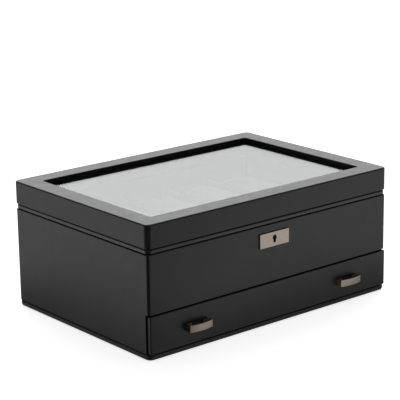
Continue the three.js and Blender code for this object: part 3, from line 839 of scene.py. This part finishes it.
def make_drawer_pad():
    """The drawer's thin padded floor: crowned, full to its edges and faintly uneven."""
    low, high = node_box("drawer_pad")
    centre, half = (low + high) / 2, (high - low) / 2
    columns, rows = (round(side * 2 / PAD["cell"]) for side in (half.x, half.y))
    thick = high.z - low.z

    def height(x, y):
        near = min(half.x - abs(x), half.y - abs(y), PAD["edge"]) / PAD["edge"]
        full = math.sqrt(max(0.0, 1 - (1 - near) ** 2))
        wave = PAD["wave"] * noise.noise(Vector((x / PAD["patch"], y / PAD["patch"], PAD["draw"])))
        return low.z + thick * (PAD["sides"] + PAD["crown"] * full) + wave * full

    bm = bmesh.new()
    layers = []
    for top in (False, True):
        layer = []
        for column in range(columns + 1):
            x = -half.x + 2 * half.x * column / columns
            line = []
            for row in range(rows + 1):
                y = -half.y + 2 * half.y * row / rows
                level = height(x, y) if top else low.z
                line.append(bm.verts.new((centre.x + x, centre.y + y, level)))
            layer.append(line)
        layers.append(layer)
    under, over = layers
    for layer in layers:
        for column in range(columns):
            for row in range(rows):
                bm.faces.new((layer[column][row], layer[column + 1][row],
                              layer[column + 1][row + 1], layer[column][row + 1]))
    around = [(column, 0) for column in range(columns)]
    around += [(columns, row) for row in range(rows)]
    around += [(column, rows) for column in range(columns, 0, -1)]
    around += [(0, row) for row in range(rows, 0, -1)]
    for (c0, r0), (c1, r1) in zip(around, around[1:] + around[:1]):
        bm.faces.new((under[c0][r0], under[c1][r1], over[c1][r1], over[c0][r0]))
    pad = mesh_object("drawer_pad_soft", bm)
    pad.data.shade_smooth()
    dress(pad, SUEDE, "drawer_pad")


def pull_outline(centre_x, face_y, reach, half):
    """The pull seen from above: a bowed strip on two legs, whose feet turn inwards."""
    strip, end, foot, steps = (PULL[size] for size in ("strip", "end", "foot", "steps"))

    def arc(span, rise, crest):
        """Points from left to right along an arc of that half span, rise and distance off."""
        radius = (span * span + rise * rise) / (2 * rise)
        return [(x, crest - radius + math.sqrt(radius * radius - x * x))
                for x in (span * (2 * step / steps - 1) for step in range(steps + 1))]

    rise = reach - end
    inside = half - strip
    outer = arc(half, rise, reach)
    inner = arc(inside, rise * (inside / half) ** 2, reach - strip)
    points = [(-half, 0), *outer, (half, 0)]
    points += [(half - foot, 0), (half - foot, strip), (inside, strip)]
    points += [*reversed(inner), (-inside, strip), (foot - half, strip), (foot - half, 0)]
    return [(centre_x + x, face_y - off) for x, off in points]


def make_pulls():
    """Two bow pulls of brushed strip."""
    for side in SIDES:
        node = f"pull_{side}"
        low, high = node_box(node)
        middle_x, half, reach = (low.x + high.x) / 2, (high.x - low.x) / 2, high.y - low.y
        outline = pull_outline(middle_x, high.y, reach, half)
        pull = prism(f"{node}_brushed", outline, low.z, high.z)
        rounded = round_edges(pull, PULL["fillet"], sharper_than=PULL["turn"])
        dress(smooth(rounded), BRONZE, node)


def make_pull_screws():
    """Pan head screws from inside the drawer into the pulls' feet."""
    for index in range(1, 5):
        node = f"pull_screw_{index}"
        low, high = node_box(node)
        middle = (low + high) / 2
        head, shank, length = (high.x - low.x) / 2, PULL_SCREW["shank"], high.y - low.y
        under = length - PULL_SCREW["head"]
        profile = [(0, 0), (shank, 0), (shank, under), (head, under),
                   (head, under + PULL_SCREW["side"]), (head * 0.85, length - 0.4),
                   (head * 0.45, length - 0.06), (0, length)]
        flipped = [(radius, -level) for radius, level in profile]
        screw = turned(f"{node}_steel", flipped, Vector((middle.x, low.y, middle.z)), axis="Y")
        slot_centre = Vector((middle.x, high.y, middle.z))
        slot = cross_slot(slot_centre, PULL_SCREW["slot"], "Y")
        dress(smooth(cut(screw, slot)), STEEL, node)


# ---- Stage: floor, lights and camera ----------------------------------------------------------

def plane(name, centre, across, up):
    """A flat rectangle given by its two half sides, in millimetres."""
    bm = bmesh.new()
    corners = [centre - across - up, centre + across - up,
               centre + across + up, centre - across + up]
    bm.faces.new([bm.verts.new(corner) for corner in corners])
    mesh = bpy.data.meshes.new(name)
    bm.to_mesh(mesh)
    bm.free()
    mesh.transform(Matrix.Scale(MM, 4))
    made = bpy.data.objects.new(name, mesh)
    bpy.context.scene.collection.objects.link(made)
    return made


CAMERA_PLACE = Vector((-1051.4, -1266.0, 572.9))
CAMERA_YAW = math.radians(39.62)       # clockwise from +Y, seen from above
CAMERA_PITCH = math.radians(15.693)    # downwards
CAMERA_ROLL = math.radians(0.816)
CAMERA_LENS = 142.94
LOOK = Vector((math.sin(CAMERA_YAW), math.cos(CAMERA_YAW), 0))    # the way it looks, on the level
SIDE = Vector((LOOK.y, -LOOK.x, 0))    # to its right

FLOOR_HALF = 9000
FLOOR_GLOW = 0.78
FLOOR_WHITE = 0.82
TONE_PATCH = 400
# Painted reflection: how bright the floor is painted for what mirrors it, by the cosine of its bearing from the
# near corner, where 1 is towards the camera; the dark end towards the camera is painted shade.
PAINTED_FLOOR_REFLECTION = ((-1.0, 0.74), (-0.6, 0.78), (-0.19, 0.92), (0.19, 0.62),
                  (0.45, 0.22), (0.7, 0.03), (1.0, 0.02))
FOOT_SHADE = 0.38        # of that brightness, at the box's foot
FOOT_SHADE_REACH = 190   # how far from the box the shade at its foot is felt

# The wall's distance, half width and height, and its light by height.
BACK_WALL = {"away": 2100, "half": 1800, "top": 1700}
BACK_GLOW = {"low": 450, "high": 1150, "least": 1.14, "most": 2.3}
HIGH_LIGHT = {"away": 1500, "up": 2000, "target": (0, 0, 150),
              "size": (3000, 1500), "radiance": 1.6}
CEILING = {"place": (0, 0, 2600), "size": (2600, 2600), "radiance": 0.7}
ROOM = 0.10              # the world's level for what isn't the camera
BACKDROP = 1.05          # and for the camera


def make_floor():
    """A plain white floor that glows a little, as one lit from all round does.

    What mirrors it sees a painted reflection of it instead, with painted shade: dim at the box's foot and dark
    towards the camera.
    """
    across, up = Vector((FLOOR_HALF, 0, 0)), Vector((0, FLOOR_HALF, 0))
    floor = plane("floor", Vector((0, 0, 0)), across, up)
    paper = Material("white_floor", Emission_Color=grey(1), Emission_Strength=FLOOR_GLOW,
                     Specular_IOR_Level=0.0)
    tone = paper.noise(TONE_PATCH, detail=2)
    colour = paper.blend(tone, grey(FLOOR_WHITE), grey(FLOOR_WHITE + 0.02))
    material = paper.finish(colour, paper.spread(tone, 0.9, 1), tone, 0.01)

    def vector(operation, *inputs, output="Vector"):
        node = paper.add("ShaderNodeVectorMath", dict(enumerate(inputs)), operation=operation)
        return node.outputs[output]

    # Painted shade, seen only in reflections: darker towards the camera by bearing, and darker at the box's foot.
    from_corner = vector("SUBTRACT", paper.place, (-HALF_W * MM, -HALF_D * MM, 0))
    bearing = vector("DOT_PRODUCT", vector("NORMALIZE", from_corner), tuple(-LOOK), output="Value")
    ramp = paper.add("ShaderNodeValToRGB", {"Fac": paper.spread(bearing, 0, 1, source=(-1, 1))})
    ramp.color_ramp.interpolation = "EASE"
    stops = ramp.color_ramp.elements
    for index, (cosine, level) in enumerate(PAINTED_FLOOR_REFLECTION):
        stop = stops[index] if index < 2 else stops.new(1.0)
        stop.position, stop.color = (cosine + 1) / 2, grey(level)
    outside = vector("SUBTRACT", vector("ABSOLUTE", paper.place), (HALF_W * MM, HALF_D * MM, 0))
    away = vector("LENGTH", vector("MAXIMUM", outside, (0, 0, 0)), output="Value")
    reach = {"Value": away, "From Max": FOOT_SHADE_REACH * MM, "To Min": FOOT_SHADE}
    fall = paper.add("ShaderNodeMapRange", reach, interpolation_type="SMOOTHSTEP").outputs[0]
    glow = paper.add("ShaderNodeEmission", {"Color": ramp.outputs["Color"], "Strength": fall})
    # Glossy rays see this painted reflection instead of the floor's own shading.
    mirrored = paper.add("ShaderNodeLightPath").outputs["Is Glossy Ray"]
    shaders = {0: mirrored, 1: paper.shader.outputs[0], 2: glow.outputs[0]}
    shown = paper.add("ShaderNodeMixShader", shaders)
    output = next(node for node in paper.tree.nodes if node.type == "OUTPUT_MATERIAL")
    paper.tree.links.new(shown.outputs[0], output.inputs["Surface"])
    floor.data.materials.append(material)


def softbox(name, place, target, size, radiance):
    """A rectangular light of that radiance that faces its target. The camera doesn't see it."""
    data = bpy.data.lights.new(name, "AREA")
    data.shape = "RECTANGLE"
    data.size, data.size_y = (side * MM for side in size)
    data.energy = radiance * math.pi * data.size * data.size_y
    light = bpy.data.objects.new(name, data)
    light.location = Vector(place) * MM
    light.rotation_mode = "QUATERNION"
    light.rotation_quaternion = (Vector(target) - Vector(place)).to_track_quat("-Z", "Y")
    light.visible_camera = False
    bpy.context.scene.collection.objects.link(light)


def make_back_wall():
    """A wall of light behind the box, brighter towards its top, as one lit from above is."""
    up = Vector((0, 0, BACK_WALL["top"] / 2))
    wall = plane("back_wall", LOOK * BACK_WALL["away"] + up, SIDE * BACK_WALL["half"], up)
    wall.visible_camera = False
    glow = Material("back_wall_glow", Emission_Color=grey(1), Specular_IOR_Level=0.0)
    height = glow.add("ShaderNodeSeparateXYZ", {0: glow.place}).outputs["Z"]
    ends = (BACK_GLOW["low"] * MM, BACK_GLOW["high"] * MM)
    shade = glow.spread(height, BACK_GLOW["least"], BACK_GLOW["most"], source=ends)
    glow.tree.links.new(shade, glow.shader.inputs["Emission Strength"])
    tone = glow.noise(TONE_PATCH, detail=1)
    colour = glow.blend(tone, grey(0.0), grey(0.002))
    material = glow.finish(colour, glow.spread(tone, 0.9, 1), tone, 0.01)
    wall.data.materials.append(material)


def make_lights():
    """The wall of light behind the box, a softbox leaning over it, and a soft ceiling."""
    make_back_wall()
    high = LOOK * HIGH_LIGHT["away"] + Vector((0, 0, HIGH_LIGHT["up"]))
    softbox("high_back_light", high, HIGH_LIGHT["target"], HIGH_LIGHT["size"],
            HIGH_LIGHT["radiance"])
    softbox("ceiling", CEILING["place"], (0, 0, 0), CEILING["size"], CEILING["radiance"])


def make_world():
    """White where the camera looks past the floor, and a dim grey room for everything else."""
    world = bpy.data.worlds.new("studio")
    world.use_nodes = True
    tree = world.node_tree
    tree.nodes.clear()
    output = tree.nodes.new("ShaderNodeOutputWorld")
    mix = tree.nodes.new("ShaderNodeMixShader")
    path = tree.nodes.new("ShaderNodeLightPath")
    room = tree.nodes.new("ShaderNodeBackground")
    white = tree.nodes.new("ShaderNodeBackground")
    room.inputs["Color"].default_value = grey(ROOM)
    white.inputs["Color"].default_value = grey(BACKDROP)
    tree.links.new(path.outputs["Is Camera Ray"], mix.inputs[0])
    tree.links.new(room.outputs[0], mix.inputs[1])
    tree.links.new(white.outputs[0], mix.inputs[2])
    tree.links.new(mix.outputs[0], output.inputs["Surface"])
    bpy.context.scene.world = world


def make_camera():
    """The camera at the height and angle of a person seated at the table, with a long lens."""
    forward = LOOK * math.cos(CAMERA_PITCH) - Vector((0, 0, math.sin(CAMERA_PITCH)))
    down = forward.cross(SIDE)
    right = math.cos(CAMERA_ROLL) * SIDE + math.sin(CAMERA_ROLL) * down
    up = math.sin(CAMERA_ROLL) * SIDE - math.cos(CAMERA_ROLL) * down
    data = bpy.data.cameras.new("camera")
    data.lens = CAMERA_LENS
    camera = bpy.data.objects.new("camera", data)
    turn = Matrix((right, up, -forward)).transposed().to_4x4()
    camera.matrix_world = Matrix.Translation(CAMERA_PLACE * MM) @ turn
    bpy.context.scene.collection.objects.link(camera)
    bpy.context.scene.camera = camera


# ---- Assembly ---------------------------------------------------------------------------------

make_camera()
make_base()
make_case()
make_tray()
make_cushions()
make_lock()
make_hinges()
make_rim()
make_lid_cover()
make_glazing()
make_strike()
make_drawer_front()
make_drawer_box()
make_drawer_pad()
make_pulls()
make_pull_screws()
make_floor()
make_lights()
make_world()
bpy.context.scene.view_settings.view_transform = "Standard"
